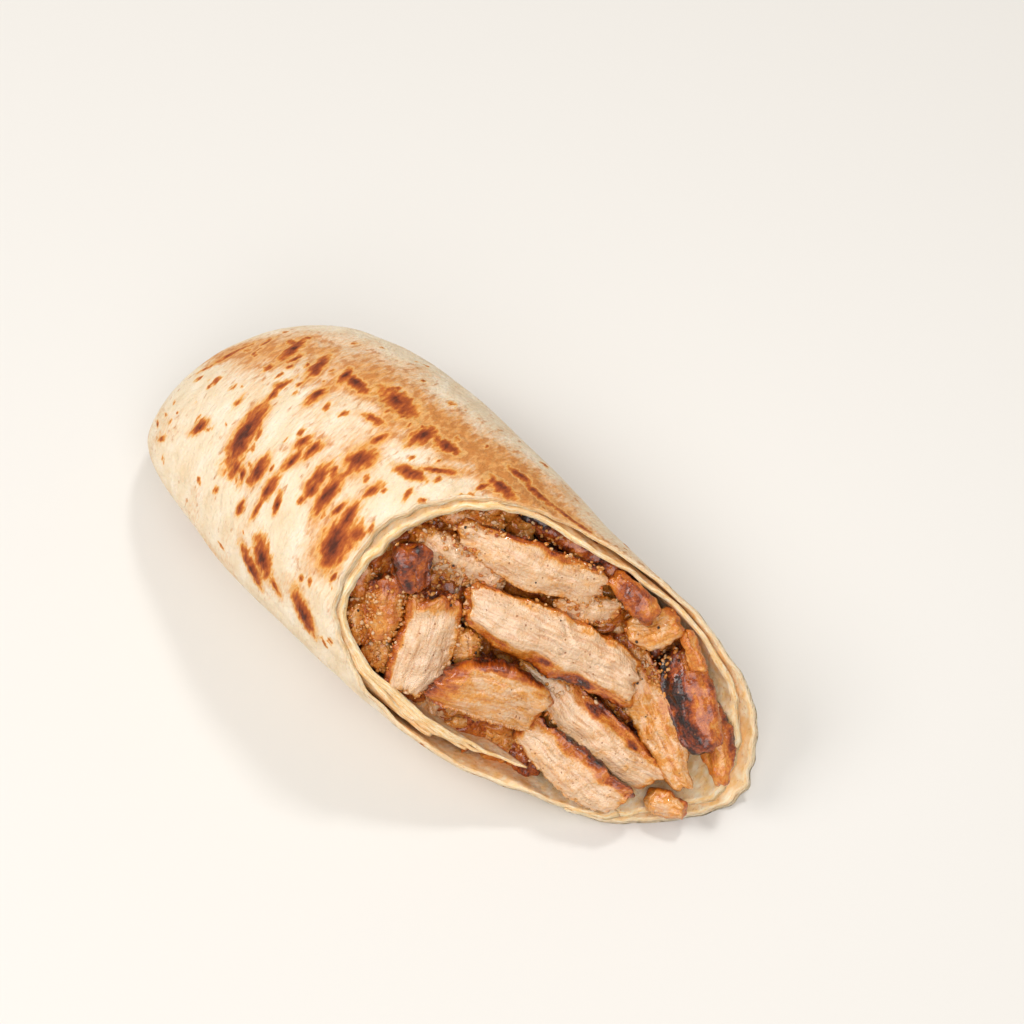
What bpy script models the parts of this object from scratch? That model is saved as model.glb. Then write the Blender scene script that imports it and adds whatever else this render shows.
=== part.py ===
"""Half of a rolled chicken wrap, cut on the slant.

A thin flatbread is rolled into a spiral of nearly two turns around a filling of grilled
chicken and pressed shut at one end. Slices of chicken lie on the filling and show at the cut.

Metres, +Z up. +X runs from the closed end to the cut, and the origin is the middle of the
underside of the whole. The sizes below are in millimetres, and MM turns them into metres.
"""

from math import cos, floor, hypot, pi, radians, sin

import bmesh
import bpy
from mathutils import Matrix, Vector
from mathutils.bvhtree import BVHTree

MM = 0.001

# ---- the rolled body: outer sections along X -------------------------------------------------
# (x, half width, half height, centre y, centre z) of the outside of the roll
SECTIONS = (
    (-92.8, 8.5, 3.6, 7.0, 10.3),
    (-92.0, 11.5, 6.0, 7.0, 10.5),
    (-88.0, 18.5, 10.3, 7.0, 12.6),
    (-79.0, 25.4, 15.2, 8.3, 17.5),
    (-62.0, 31.0, 21.8, 8.6, 22.6),
    (-38.0, 34.6, 28.0, 6.4, 27.0),
    (-8.0, 34.4, 30.3, 3.4, 28.9),
    (20.0, 32.0, 29.8, 0.8, 29.2),
    (45.0, 29.8, 28.8, 0.4, 28.4),
    (80.0, 29.0, 27.6, -0.6, 27.2),
)
ROUNDNESS = 1.92  # exponent of the section's superellipse, where 2 is an ellipse
SAG = 1.8  # how much deeper the lower half would be if it did not flatten where it rests
SOFT = 1.2  # over which it bends up from its flat underside

# ---- the slanted cut -------------------------------------------------------------------------
CUT_CENTRE = Vector((28.8, -0.5, 29.1))
CUT_SLANT = radians(34.0)  # between the cut face and the roll's axis
CUT_ROLL = radians(56.5)  # how far the cut face is turned up from the side

# ---- the flatbread ---------------------------------------------------------------------------
PLY = 1.1  # thickness of the bread
EDGE = 0.45  # part of it that is left at the free edges
PITCH = 1.4  # from one turn to the next
STEPS = 32  # columns of faces in a turn
SEAM = 236.25  # angle of the outer free edge, under the roll, in degrees
TURNS = 1.96875  # down to the inner free edge, low on the near side
RAMP = 5.0 / STEPS  # part of a turn over which a turn steps down under the one outside it
BUCKLE = 1.3  # height of the waves in the innermost turn
BUCKLES = 4  # waves in it
FAN = 3.0  # how far the inner free edge stands away from the turn outside it
FAN_SPAN = 0.2  # part of a turn over which it does
ROWS = 12  # rows of faces from the closed end to the cut
SHEET_START = -80.0
TIP_X = (-92.8, -92.0, -90.0, -88.0, -84.5, -80.6, -80.0, -77.0)  # rings of the solid tip

# ---- the filling -----------------------------------------------------------------------------
GAP = 0.35  # between neighbouring pieces
CORE_DEPTH = 13.0  # of the filling's face below the cut
CORE_START = -76.0
CORE_ROWS = 8
CORE_LUMP = 0.8

# ---- the chicken slices ----------------------------------------------------------------------
# Each lies in the plane of the cut: along, up = place of its middle; length, width, thick;
# turn = its direction in that plane; lean = how far the plane of the slice dips towards the
# closed end; roll = its turn about its own length; points = how narrow its start and its end
# are; bow = sideways bend; depth = of its upper side below the cut. Those on top come first,
# and each goes to the nearest place that is clear of the bread and of those before it.
SLICES = (
    # along,  up,   length, width, thick, turn, lean, roll, points,      bow,  depth
    (41.0, 5.8, 19.0, 7.2, 3.8, -34, 34, 0, (0.85, 0.5), 0.0, -1.6),
    (31.6, 10.8, 23.0, 9.6, 4.6, -37, 26, -8, (0.9, 0.6), 0.0, -1.8),
    (-2.6, 5.2, 42.0, 11.6, 6.0, 5, 0, 0, (0.85, 0.95), 0.0, -1.8),
    (15.6, -7.8, 41.0, 9.4, 5.2, -15, 12, 0, (0.7, 0.8), 2.4, -1.4),
    (26.4, 2.6, 37.0, 8.6, 4.8, -35, 20, 0, (0.8, 0.5), 1.2, -1.4),
    (-16.8, 18.6, 33.5, 8.8, 4.6, 9, 0, -8, (0.5, 0.9), -0.8, -0.6),
    (-30.2, 10.0, 22.5, 8.0, 4.6, 4, 0, 0, (0.7, 0.85), 0.0, 0.2),
    (-25.4, -10.4, 22.0, 11.4, 5.4, -75, 0, 4, (0.95, 0.95), 0.0, -0.6),
    (-7.6, -11.4, 23.5, 13.0, 5.6, 14, 0, 6, (0.75, 0.7), 1.0, -0.4),
    (16.4, -18.8, 32.0, 9.2, 4.4, -3, 12, 14, (0.75, 0.95), 0.0, -1.2),
    (-36.6, -7.4, 14.0, 7.8, 5.2, -62, 0, 0, (0.85, 0.45), 0.0, 0.4),
    (15.8, 20.4, 10.0, 7.2, 4.6, 52, 16, -12, (0.85, 0.85), 0.0, -1.2),
    (0.4, 15.8, 13.0, 5.8, 4.0, 21, 0, -6, (0.65, 0.85), 0.0, 1.0),
    (-9.0, 25.0, 34.0, 4.8, 4.4, -7, 6, -14, (0.75, 0.65), -1.0, 0.6),
    (7.6, -13.4, 14.0, 6.2, 4.0, 10, 0, 6, (0.75, 0.85), 0.0, 4.4),
    (-39.8, 3.0, 9.0, 7.0, 4.8, -48, 0, 0, (0.85, 0.75), 0.0, 0.8),
    (-31.6, 18.6, 12.5, 5.4, 4.4, 16, 0, -8, (0.75, 0.85), 0.0, 1.0),
    (-40.6, 12.4, 10.5, 6.2, 4.6, 32, 0, -4, (0.75, 0.85), 0.0, 0.8),
    (-43.4, -5.6, 6.6, 6.2, 4.6, -58, 0, 0, (0.85, 0.85), 0.0, 0.6),
    (-39.8, -13.4, 8.8, 4.8, 4.4, -57, 0, 6, (0.75, 0.65), 0.0, 0.6),
    (-32.8, -16.6, 7.5, 5.8, 4.4, -57, 0, 8, (0.85, 0.7), 0.0, 0.8),
    (-18.6, -3.8, 6.4, 5.2, 4.6, -57, 0, 0, (0.85, 0.85), 0.0, 1.0),
    (24.6, 18.6, 11.0, 4.4, 4.0, -37, 22, -12, (0.75, 0.65), 0.0, -0.6),
    (36.6, -12.6, 10.0, 6.0, 3.6, 24, 34, 10, (0.8, 0.8), 0.0, -1.4),
    (12.4, 17.0, 22.0, 5.4, 4.0, -38, 14, 0, (0.75, 0.75), 0.0, 3.4),
    (6.6, 25.0, 13.0, 5.0, 4.0, -12, 12, -14, (0.75, 0.75), 0.0, 0.8),
    (-11.5, 11.5, 19.0, 7.0, 4.4, 12, 0, 0, (0.75, 0.85), 0.5, 5.5),
    (16.0, 4.0, 20.0, 6.0, 4.4, -37, 12, 0, (0.75, 0.75), 0.0, 5.5),
    (-25.0, 2.0, 18.0, 8.0, 4.4, 20, 0, 0, (0.75, 0.75), 0.0, 5.5),
    (-1.0, -5.0, 18.0, 7.0, 4.4, -20, 0, 0, (0.85, 0.75), 0.0, 5.5),
)
SLIDE = 0.5  # a slice moves in steps of this, sideways
SLIDE_STEPS = 7
SINK = 0.75  # and of this, up or down
RISE_STEPS = 4
SINK_STEPS = 6
SINK_COST = 1.3  # how much a move down counts against one sideways
TWIST = 5  # degrees that it may turn
TWIST_COST = 0.1
TRIMS = (1.0, 0.93, 0.86, 0.8, 0.74, 0.68, 0.62, 0.55)  # sizes tried, as parts of the full one
SLICE_PROFILE = ((-1, 0.72), (-0.9, 1), (-0.5, 1), (0, 1), (0.5, 1), (0.9, 1), (1, 0.72))
SLICE_SIDES = 8
SLICE_SQUARENESS = 3.6  # exponent of a slice's section, where 2 is an ellipse

FLATBREAD_COLOUR = (0.78, 0.58, 0.33, 1.0)
CHICKEN_COLOUR = (0.60, 0.31, 0.13, 1.0)
CORE_COLOUR = (0.24, 0.09, 0.03, 1.0)


# ---- shapes ----------------------------------------------------------------------------------
def axes_of_cut():
    """The cut face's normal, its long direction (down towards the board) and its short one."""
    across = Vector((0.0, -cos(CUT_ROLL), sin(CUT_ROLL)))
    normal = sin(CUT_SLANT) * Vector((1, 0, 0)) + cos(CUT_SLANT) * across
    along = cos(CUT_SLANT) * Vector((1, 0, 0)) - sin(CUT_SLANT) * across
    return normal, along, normal.cross(along)


NORMAL, ALONG, UP = axes_of_cut()


def section_at(x):
    """Half width, half height, centre y and centre z at x, on a smooth curve through SECTIONS."""
    last = len(SECTIONS) - 1
    i = next((k for k in range(last) if x < SECTIONS[k + 1][0]), last - 1)
    a, b = SECTIONS[i], SECTIONS[i + 1]
    before, after = SECTIONS[max(i - 1, 0)], SECTIONS[min(i + 2, last)]
    span = b[0] - a[0]
    t = (x - a[0]) / span

    def curve(k):
        start = (b[k] - before[k]) / (b[0] - before[0]) * span
        end = (after[k] - a[k]) / (after[0] - a[0]) * span
        rise = b[k] - a[k]
        return a[k] + t * (start + t * (3 * rise - 2 * start - end + t * (start + end - 2 * rise)))

    return [curve(k) for k in range(1, 5)]


def superellipse(c, s, exponent):
    """How far the unit superellipse reaches in the direction whose cosine and sine are c and s."""
    return (abs(c) ** exponent + abs(s) ** exponent) ** (-1 / exponent)


def on_body(x, degrees, inset):
    """The point of the roll at x and this angle, `inset` inside its outer surface."""
    half_width, half_height, centre_y, centre_z = section_at(x)
    c, s = cos(radians(degrees)), sin(radians(degrees))
    reach = superellipse(c, s, ROUNDNESS)
    depth = half_height - inset + (SAG if s < 0 else 0)
    y = centre_y + (half_width - inset) * reach * c
    height = centre_z + depth * reach * s - inset
    if height < SOFT:
        height = max(height + SOFT, 0) ** 2 / (4 * SOFT)
    return Vector((x, y, inset + height))


def x_at_cut(degrees, inset, depth=0.0):
    """Where a line along the roll meets the plane that lies `depth` below the cut."""
    low, high = SECTIONS[0][0], SECTIONS[-1][0] + 30
    for _ in range(28):
        x = (low + high) / 2
        if (on_body(x, degrees, inset) - CUT_CENTRE).dot(NORMAL) < -depth:
            low = x
        else:
            high = x
    return low


def ease(t):
    t = min(max(t, 0.0), 1.0)
    return t * t * (3 - 2 * t)


def sheet_inset(turn):
    """How far inside the body the bread's outer face lies after this many turns from the seam."""
    whole = floor(turn)
    inset = PITCH * (whole + ease((turn - whole - 1 + RAMP) / RAMP))
    inner = turn - (TURNS - 1)
    if inner > RAMP:
        inset += BUCKLE * (0.5 - 0.5 * cos(2 * pi * BUCKLES * (inner - RAMP) / (1 - RAMP)))
    return inset + FAN * ease((turn - TURNS) / FAN_SPAN + 1)


def lining_inset(degrees):
    """The inset of the innermost bread face at this angle."""
    turn = ((degrees - SEAM) / 360) % 1.0
    while turn + 1 <= TURNS:
        turn += 1
    return sheet_inset(turn) + PLY


# ---- meshes ----------------------------------------------------------------------------------
def loft(rings, caps=True):
    """A closed mesh through rings of equally many points, with flat caps."""
    points = [p for ring in rings for p in ring]
    n = len(rings[0])
    faces = []
    for i in range(len(rings) - 1):
        for j in range(n):
            k = (j + 1) % n
            faces.append((i * n + j, i * n + k, (i + 1) * n + k, (i + 1) * n + j))
    if caps:
        faces.append(tuple(range(n))[::-1])
        faces.append(tuple((len(rings) - 1) * n + j for j in range(n)))
    return points, faces


def object_from(name, points, faces, material, collection):
    mesh = bpy.data.meshes.new(name)
    mesh.from_pydata([p * MM for p in points], [], faces)
    builder = bmesh.new()
    builder.from_mesh(mesh)
    bmesh.ops.recalc_face_normals(builder, faces=builder.faces)
    builder.to_mesh(mesh)
    builder.free()
    mesh.materials.append(material)
    mesh.shade_smooth()
    mesh.set_sharp_from_angle(angle=radians(40))
    obj = bpy.data.objects.new(name, mesh)
    collection.objects.link(obj)
    return obj


def principled(name, colour, roughness):
    material = bpy.data.materials.new(name)
    material.use_nodes = True
    shader = material.node_tree.nodes["Principled BSDF"]
    shader.inputs["Base Color"].default_value = colour
    shader.inputs["Roughness"].default_value = roughness
    shader.inputs["Metallic"].default_value = 0.0
    material.diffuse_color = colour
    return material


def flatbread_sheet():
    """The rolled sheet: its section is a spiral strip, and its open end lies in the cut."""
    columns = round(TURNS * STEPS)
    outline = []
    for j in range(columns + 1):
        thin = 1 - ease(min(j, columns - j) / 2)
        outline.append((j, PLY * (1 - EDGE) * thin))
    outline += [(j, PLY) for j in range(columns, -1, -1)]
    lines = []
    for j, thickness in outline:
        degrees = SEAM + 360.0 * j / STEPS
        inset = sheet_inset(j / STEPS) + thickness
        end = x_at_cut(degrees, inset)
        lines.append([
            on_body(SHEET_START + (end - SHEET_START) * i / ROWS, degrees, inset)
            for i in range(ROWS + 1)
        ])
    points, faces = loft([list(ring) for ring in zip(*lines)], caps=False)
    n = len(outline)
    for j in range(columns):
        faces.append((j, j + 1, n - 2 - j, n - 1 - j))
        top = ROWS * n
        faces.append((top + j + 1, top + j, top + n - 1 - j, top + n - 2 - j))
    return points, faces


def flatbread_tip():
    """The closed end, where the turns are pressed into one solid, with its neck in the sheet."""
    rings = []
    for x in TIP_X:
        inset = PLY / 2 if x >= SHEET_START else 0.0
        rings.append([on_body(x, 360.0 * j / STEPS, inset) for j in range(STEPS)])
    return loft(rings)


def filling_core():
    """The mass of chicken that fills the roll below the slices, lumpy at its cut face."""
    columns = range(STEPS)
    sides = []
    for j in columns:
        degrees = 360.0 * j / STEPS
        lump = CORE_LUMP * (1 + sin(3 * radians(degrees)) * cos(radians(2 * degrees)))
        inset = lining_inset(degrees) + GAP + lump
        end = x_at_cut(degrees, inset, CORE_DEPTH)
        sides.append([
            on_body(CORE_START + (end - CORE_START) * i / CORE_ROWS, degrees, inset)
            for i in range(CORE_ROWS + 1)
        ])
    rings = [list(ring) for ring in zip(*sides)]
    middle = sum(rings[-1], Vector()) / STEPS
    for part in (0.85, 0.6, 0.3):
        ring = []
        for j in columns:
            p = middle.lerp(rings[CORE_ROWS][j], part)
            q = p - CUT_CENTRE
            wave = sin(q.dot(ALONG) * 0.42) * sin(q.dot(UP) * 0.5 + 0.7)
            ring.append(p + NORMAL * CORE_LUMP * wave)
        rings.append(ring)
    return loft(rings)


def slice_mesh(length, width, thick, points, bow, swell=0.0):
    """A slice along its own x: a slab with soft edges that may narrow to its ends and bend."""
    rings = []
    for t, edge in SLICE_PROFILE:
        narrow = points[0] if t < 0 else points[1]
        scale = edge * (1 - (1 - narrow) * abs(t) ** 1.7)
        half_width = width / 2 * scale + swell
        half_thick = thick / 2 * (0.3 * edge + 0.7 * scale) + swell
        ring = []
        for k in range(SLICE_SIDES):
            angle = 2 * pi * (k + 0.5) / SLICE_SIDES
            c, s = cos(angle), sin(angle)
            reach = superellipse(c, s, SLICE_SQUARENESS)
            y = half_width * reach * c + bow * (1 - t * t)
            ring.append(Vector((t * (length / 2 + swell), y, half_thick * reach * s)))
        rings.append(ring)
    return loft(rings)


def frame_of(along, up, turn, lean, roll, depth, thick):
    """The placement of a slice in the cut, with its upper side `depth` below the cut."""
    middle = CUT_CENTRE + along * ALONG + up * UP - (depth + thick / 2) * NORMAL
    basis = Matrix((ALONG, UP, NORMAL)).transposed().to_4x4()
    spin = Matrix.Rotation(radians(turn), 4, "Z") @ Matrix.Rotation(radians(roll), 4, "X")
    tilt = Matrix.Rotation(radians(-lean), 4, "Y")
    return Matrix.Translation(middle) @ basis @ tilt @ spin


def tree_of(points, faces, sides=0):
    """For testing what meets the shape; with `sides`, walls across it at each ring of the loft."""
    walls = [tuple(range(i, i + sides)) for i in range(0, len(points), sides)] if sides else []
    return BVHTree.FromPolygons([tuple(p) for p in points], faces + walls)


def nearby_places():
    """Small moves of a slice from its place, the least first: along, up, down into the heap, turn."""
    moves = []
    for sink in range(-RISE_STEPS, SINK_STEPS):
        for ring in range(SLIDE_STEPS):
            for turn in (0, -TWIST, TWIST):
                cost = SLIDE * ring + SINK_COST * SINK * abs(sink) + TWIST_COST * abs(turn)
                for way in range(12 if ring else 1):
                    angle = pi * way / 6
                    slide = SLIDE * ring
                    moves.append((cost, slide * cos(angle), slide * sin(angle), SINK * sink, turn))
    return sorted(moves)


def in_hollow(p):
    """Whether a point is inside the innermost turn of the bread."""
    half_width, half_height, centre_y, centre_z = section_at(p.x)
    lining = 2 * PITCH
    across = (p.y - centre_y) / (half_width - lining)
    return hypot(across, (p.z - centre_z) / (half_height - lining)) < 1


def laid_slice(spec, neighbours, moves):
    """The slice's points and faces at the nearest place that is clear of its neighbours.

    A slice that finds no room is trimmed a little and tried again."""
    along, up, length, width, thick, turn, lean, roll, points, bow, depth = spec
    for trim in TRIMS:
        size = (length * trim, width * trim, thick * trim, points, bow)
        shape, faces = slice_mesh(*size)
        fat, _ = slice_mesh(*size, swell=GAP)
        for cost, more_along, more_up, sink, more_turn in moves:
            place = frame_of(
                along + more_along, up + more_up, turn + more_turn, lean, roll, depth + sink, thick
            )
            if not in_hollow(place.translation):
                continue
            tree = tree_of([place @ p for p in fat], faces)
            if not any(tree.overlap(other) for other in neighbours):
                return [place @ p for p in shape], faces, f"{cost:.1f}, size {trim}"
    raise ValueError(f"no room for the slice at {along}, {up}")


def clear_scene():
    for obj in list(bpy.data.objects):
        bpy.data.objects.remove(obj, do_unlink=True)


def to_origin(objects):
    """Moves every mesh so that the origin is the middle of the underside of them all."""
    corners = [v.co for obj in objects for v in obj.data.vertices]
    middle = [(min(c[k] for c in corners) + max(c[k] for c in corners)) / 2 for k in (0, 1)]
    for obj in objects:
        obj.data.transform(Matrix.Translation((-middle[0], -middle[1], 0)))


def build():
    clear_scene()
    wrap = bpy.data.collections.new("chicken_wrap_half")
    cutters = bpy.data.collections.new("cutters")
    for collection in (wrap, cutters):
        bpy.context.scene.collection.children.link(collection)
    bread_material = principled("flatbread", FLATBREAD_COLOUR, 0.7)
    chicken_material = principled("grilled_chicken", CHICKEN_COLOUR, 0.4)
    core_material = principled("chicken_filling", CORE_COLOUR, 0.4)

    sheet = flatbread_sheet()
    bread = object_from("flatbread", *sheet, bread_material, wrap)
    tip = object_from("flatbread_tip", *flatbread_tip(), bread_material, cutters)
    tip.hide_render = True
    tip.display_type = "WIRE"
    closing = bread.modifiers.new("closed end", "BOOLEAN")
    closing.operation = "UNION"
    closing.object = tip

    core = filling_core()
    objects = [bread, tip, object_from("filling_core", *core, core_material, wrap)]

    neighbours = [tree_of(*sheet), tree_of(*core, STEPS)]
    moves = nearby_places()
    for number, spec in enumerate(SLICES, 1):
        points, faces, note = laid_slice(spec, neighbours, moves)
        neighbours.append(tree_of(points, faces, SLICE_SIDES))
        name = f"chicken_slice_{number:02d}"
        objects.append(object_from(name, points, faces, chicken_material, wrap))
        print(f"{name} moved by {note}")
    to_origin(objects)


build()
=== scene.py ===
# %% [markdown]
# # Half a chicken wrap, cut on the slant
# A thin wheat flatbread is rolled nearly twice round strips of grilled chicken, shut at one
# end and cut in two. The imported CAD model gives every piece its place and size. This lesson makes
# the surfaces: toasted bread with griddle spots, fibrous meat with seared edges, crumbs and spice.
# Everything is made in millimetres in code and turned to metres when a mesh is made.

# %% Load the frame
from math import cos, pi, radians, sin

import bmesh
import bpy
import numpy as np
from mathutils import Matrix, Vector, noise
from mathutils.bvhtree import BVHTree


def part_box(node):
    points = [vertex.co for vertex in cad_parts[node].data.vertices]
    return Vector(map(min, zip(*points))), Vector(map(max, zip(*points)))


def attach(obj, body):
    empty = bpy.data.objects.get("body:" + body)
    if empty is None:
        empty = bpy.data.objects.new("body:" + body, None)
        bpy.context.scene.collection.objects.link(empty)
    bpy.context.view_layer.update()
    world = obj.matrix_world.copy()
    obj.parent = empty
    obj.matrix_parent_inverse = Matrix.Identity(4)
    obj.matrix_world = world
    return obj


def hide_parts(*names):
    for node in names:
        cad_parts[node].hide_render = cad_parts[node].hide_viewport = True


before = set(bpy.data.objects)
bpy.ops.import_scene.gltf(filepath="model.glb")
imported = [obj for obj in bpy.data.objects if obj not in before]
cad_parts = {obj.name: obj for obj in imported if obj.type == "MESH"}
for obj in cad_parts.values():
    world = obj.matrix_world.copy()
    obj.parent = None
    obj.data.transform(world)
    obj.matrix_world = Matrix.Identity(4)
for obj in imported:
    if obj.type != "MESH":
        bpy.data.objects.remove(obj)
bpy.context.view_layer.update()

MM = 0.001

# %% [markdown]
# ## Helpers
# Colours are written as sRGB hex, the way a painter's chart gives them, and Blender wants linear
# light. One small function adds any shader node with its settings and links, so that a material
# reads as a list. Noise comes from Blender's own mathutils, one value for each vertex.


# %% Colour, node, noise and mesh helpers
def colour(code):
    """An sRGB hex colour as linear RGBA."""
    channels = [int(code[i:i + 2], 16) / 255 for i in (1, 3, 5)]
    return [c / 12.92 if c < 0.04045 else ((c + 0.055) / 1.055) ** 2.4 for c in channels] + [1.0]


def add(tree, kind, inputs=None, **settings):
    """A node of this kind. `settings` are its own choices; `inputs` are values, or outputs to link."""
    node = tree.nodes.new("ShaderNode" + kind)
    for name, value in settings.items():
        setattr(node, name, value)
    for key, value in (inputs or {}).items():
        if isinstance(value, bpy.types.NodeSocket):
            tree.links.new(value, node.inputs[key])
        else:
            node.inputs[key].default_value = value
    return node


def ramp(tree, factor, stops, out="Color"):
    """A Color Ramp through stops of (position, hex colour)."""
    node = add(tree, "ValToRGB", {"Fac": factor})
    elements = node.color_ramp.elements
    while len(elements) < len(stops):
        elements.new(1.0)
    for element, (position, code) in zip(elements, stops):
        element.position = position
        element.color = colour(code)
    return node.outputs[out]


def new_material(name):
    """A material with just a Principled shader, and that shader's node."""
    material = bpy.data.materials.new(name)
    material.use_nodes = True
    return material, material.node_tree, material.node_tree.nodes["Principled BSDF"]


def wave(points, size, seed=0):
    """Smooth noise from about -1 to 1 at each point, with lumps of this size in mm."""
    moved = points / np.asarray(size, float) + seed * 17.3
    return np.array([noise.noise(p) for p in moved.tolist()])


def smooth_step(low, high, x):
    t = np.clip((x - low) / (high - low), 0, 1)
    return t * t * (3 - 2 * t)


def mesh_object(name, points, faces, material):
    """A smooth-shaded object from points in mm."""
    mesh = bpy.data.meshes.new(name)
    mesh.from_pydata((np.asarray(points) * MM).tolist(), [], faces)
    mesh.materials.append(material)
    mesh.shade_smooth()
    obj = bpy.data.objects.new(name, mesh)
    bpy.context.scene.collection.objects.link(obj)
    return obj


def attribute(obj, name, values):
    """Stores one number, or one vector, for each vertex, for the material to read."""
    values = np.asarray(values, np.float32)
    kind, key = ("FLOAT", "value") if values.ndim == 1 else ("FLOAT_VECTOR", "vector")
    obj.data.attributes.new(name, kind, "POINT").data.foreach_set(key, values.ravel())


def triangles(obj):
    return sum(len(face.vertices) - 2 for face in obj.data.polygons)


# %% [markdown]
# ## Camera, light and floor
# The wrap is seen from above and a little to the side, so the camera looks down 60 degrees from
# beyond the cut. There are three square soft lamps: the key on the left shapes the roll, a larger
# one in front fills the hollow of the cut, and a small one behind puts glints on the wet meat. A
# pale world softens what is left. The floor is one plain pale sheet.

# %% Camera
AZIMUTH, ELEVATION, DISTANCE = radians(41), radians(60), 582.6
AIM = Vector((-5.1, 32.0, 0.0))

back = Vector((sin(AZIMUTH) * cos(ELEVATION), -cos(AZIMUTH) * cos(ELEVATION), sin(ELEVATION)))
camera = bpy.data.objects.new("camera", bpy.data.cameras.new("camera"))
camera.data.lens = 85
camera.location = (AIM + back * DISTANCE) * MM
camera.rotation_euler = back.to_track_quat("Z", "Y").to_euler()
camera.data.clip_start = 0.01
bpy.context.scene.collection.objects.link(camera)
bpy.context.scene.camera = camera


# %% Lamps, world and floor
LAMP_DISTANCE = 0.9  # metres


def soft_lamp(name, direction, size, watts):
    """A square area lamp in this direction from the wrap, turned to it; its size is in metres."""
    lamp = bpy.data.objects.new(name, bpy.data.lights.new(name, "AREA"))
    lamp.data.size = size
    lamp.data.energy = watts
    away = Vector(direction).normalized()
    lamp.location = away * LAMP_DISTANCE
    lamp.rotation_euler = away.to_track_quat("Z", "Y").to_euler()
    bpy.context.scene.collection.objects.link(lamp)


soft_lamp("key_left", (-0.62, -0.42, 0.78), 0.4, 3.5)
soft_lamp("fill_front", (0.5, -0.45, 0.85), 0.7, 4.5)
soft_lamp("glints", (-0.1, 0.5, 0.9), 0.12, 1.9)
bpy.context.scene.view_settings.view_transform = "Standard"

world = bpy.data.worlds.new("pale room")
bpy.context.scene.world = world
world.use_nodes = True
world.node_tree.nodes["Background"].inputs["Color"].default_value = colour("#f4f1ec")
world.node_tree.nodes["Background"].inputs["Strength"].default_value = 0.42

floor_material, _, floor_shader = new_material("pale_floor")
floor_shader.inputs["Base Color"].default_value = colour("#e3dfd9")
floor_shader.inputs["Roughness"].default_value = 0.5
REACH = 2e3  # mm from the middle of the floor to its sides
floor = mesh_object("floor", [(-REACH, -REACH, 0), (REACH, -REACH, 0), (REACH, REACH, 0),
                              (-REACH, REACH, 0)], [(0, 1, 2, 3)], floor_material)
print("three lamps, a pale world and a floor")

# %% [markdown]
# ## The roll
# The outside of the roll is a row of sections along X, each a rounded oval with its own width,
# height and centre, joined by a smooth curve. It has the numbers of the CAD model, so that the
# fine sheet lies where the plain one did; `SHIFT` puts their origin where the frame has it. The
# numbers weren't thought up here: a separate script fitted the sections and the plane of the cut,
# and they were then rounded and evened out.

# %% The roll's sections and the plane of the cut
SECTIONS = np.array((
    # x, half width, half height, centre y, centre z
    (-92.8, 8.5, 3.6, 7.0, 10.3),
    (-92.0, 11.5, 6.0, 7.0, 10.5),
    (-88.0, 18.5, 10.3, 7.0, 12.6),
    (-79.0, 25.4, 15.2, 8.3, 17.5),
    (-62.0, 31.0, 21.8, 8.6, 22.6),
    (-38.0, 34.6, 28.0, 6.4, 27.0),
    (-8.0, 34.4, 30.3, 3.4, 28.9),
    (20.0, 32.0, 29.8, 0.8, 29.2),
    (45.0, 29.8, 28.8, 0.4, 28.4),
    (80.0, 29.0, 27.6, -0.6, 27.2),
))
ROUNDNESS = 1.92  # exponent of the rounded oval, where 2 is an ellipse
SAG = 1.8  # how much deeper the lower half would be if it did not flatten where it rests
SOFT = 1.2  # over which it bends up from its flat underside
CUT_CENTRE = np.array((28.8, -0.5, 29.1))
CUT_SLANT, CUT_ROLL = radians(34.0), radians(56.5)
MIDDLE = np.array((-9.37, 4.85, 0.0))  # of the roll's box, in the numbers above

low, high = (np.array(corner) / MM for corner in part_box("flatbread"))
SHIFT = (low + high) / 2 * (1, 1, 0) - MIDDLE

across = np.array((0.0, -cos(CUT_ROLL), sin(CUT_ROLL)))
NORMAL = sin(CUT_SLANT) * np.array((1, 0, 0)) + cos(CUT_SLANT) * across
ALONG = cos(CUT_SLANT) * np.array((1, 0, 0)) - sin(CUT_SLANT) * across
UP = np.cross(NORMAL, ALONG)


def section_at(x):
    """Half width, half height, centre y and centre z at each x, on a smooth curve through SECTIONS."""
    last = len(SECTIONS) - 1
    i = np.clip(np.searchsorted(SECTIONS[1:, 0], x, side="right"), 0, last - 1)
    a, b = SECTIONS[i], SECTIONS[i + 1]
    before, after = SECTIONS[np.maximum(i - 1, 0)], SECTIONS[np.minimum(i + 2, last)]
    span = b[:, :1] - a[:, :1]
    t = (x[:, None] - a[:, :1]) / span
    start = (b - before) / (b[:, :1] - before[:, :1]) * span
    end = (after - a) / (after[:, :1] - a[:, :1]) * span
    rise = b - a
    curve = a + t * (start + t * (3 * rise - 2 * start - end + t * (start + end - 2 * rise)))
    return curve[:, 1:].T


def on_roll(x, angle, inset):
    """Points of the roll at x and these angles in degrees, `inset` inside its outer surface."""
    half_width, half_height, centre_y, centre_z = section_at(x)
    c, s = np.cos(np.radians(angle)), np.sin(np.radians(angle))
    reach = (np.abs(c) ** ROUNDNESS + np.abs(s) ** ROUNDNESS) ** (-1 / ROUNDNESS)
    depth = half_height - inset + np.where(s < 0, SAG, 0)
    height = centre_z + depth * reach * s - inset
    flat = np.maximum(height + SOFT, 0) ** 2 / (4 * SOFT)
    height = np.where(height < SOFT, flat, height)
    return np.stack([x, centre_y + (half_width - inset) * reach * c, inset + height], -1)


def x_at_cut(angle, inset, depth):
    """Where lines along the roll at these angles meet the plane `depth` below the cut."""
    near = np.full(angle.shape, SECTIONS[0, 0])
    far = np.full(angle.shape, SECTIONS[-1, 0] + 30)
    for _ in range(24):
        x = (near + far) / 2
        inside = (on_roll(x, angle, inset) - CUT_CENTRE) @ NORMAL < -depth
        near = np.where(inside, x, near)
        far = np.where(inside, far, x)
    return near


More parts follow.
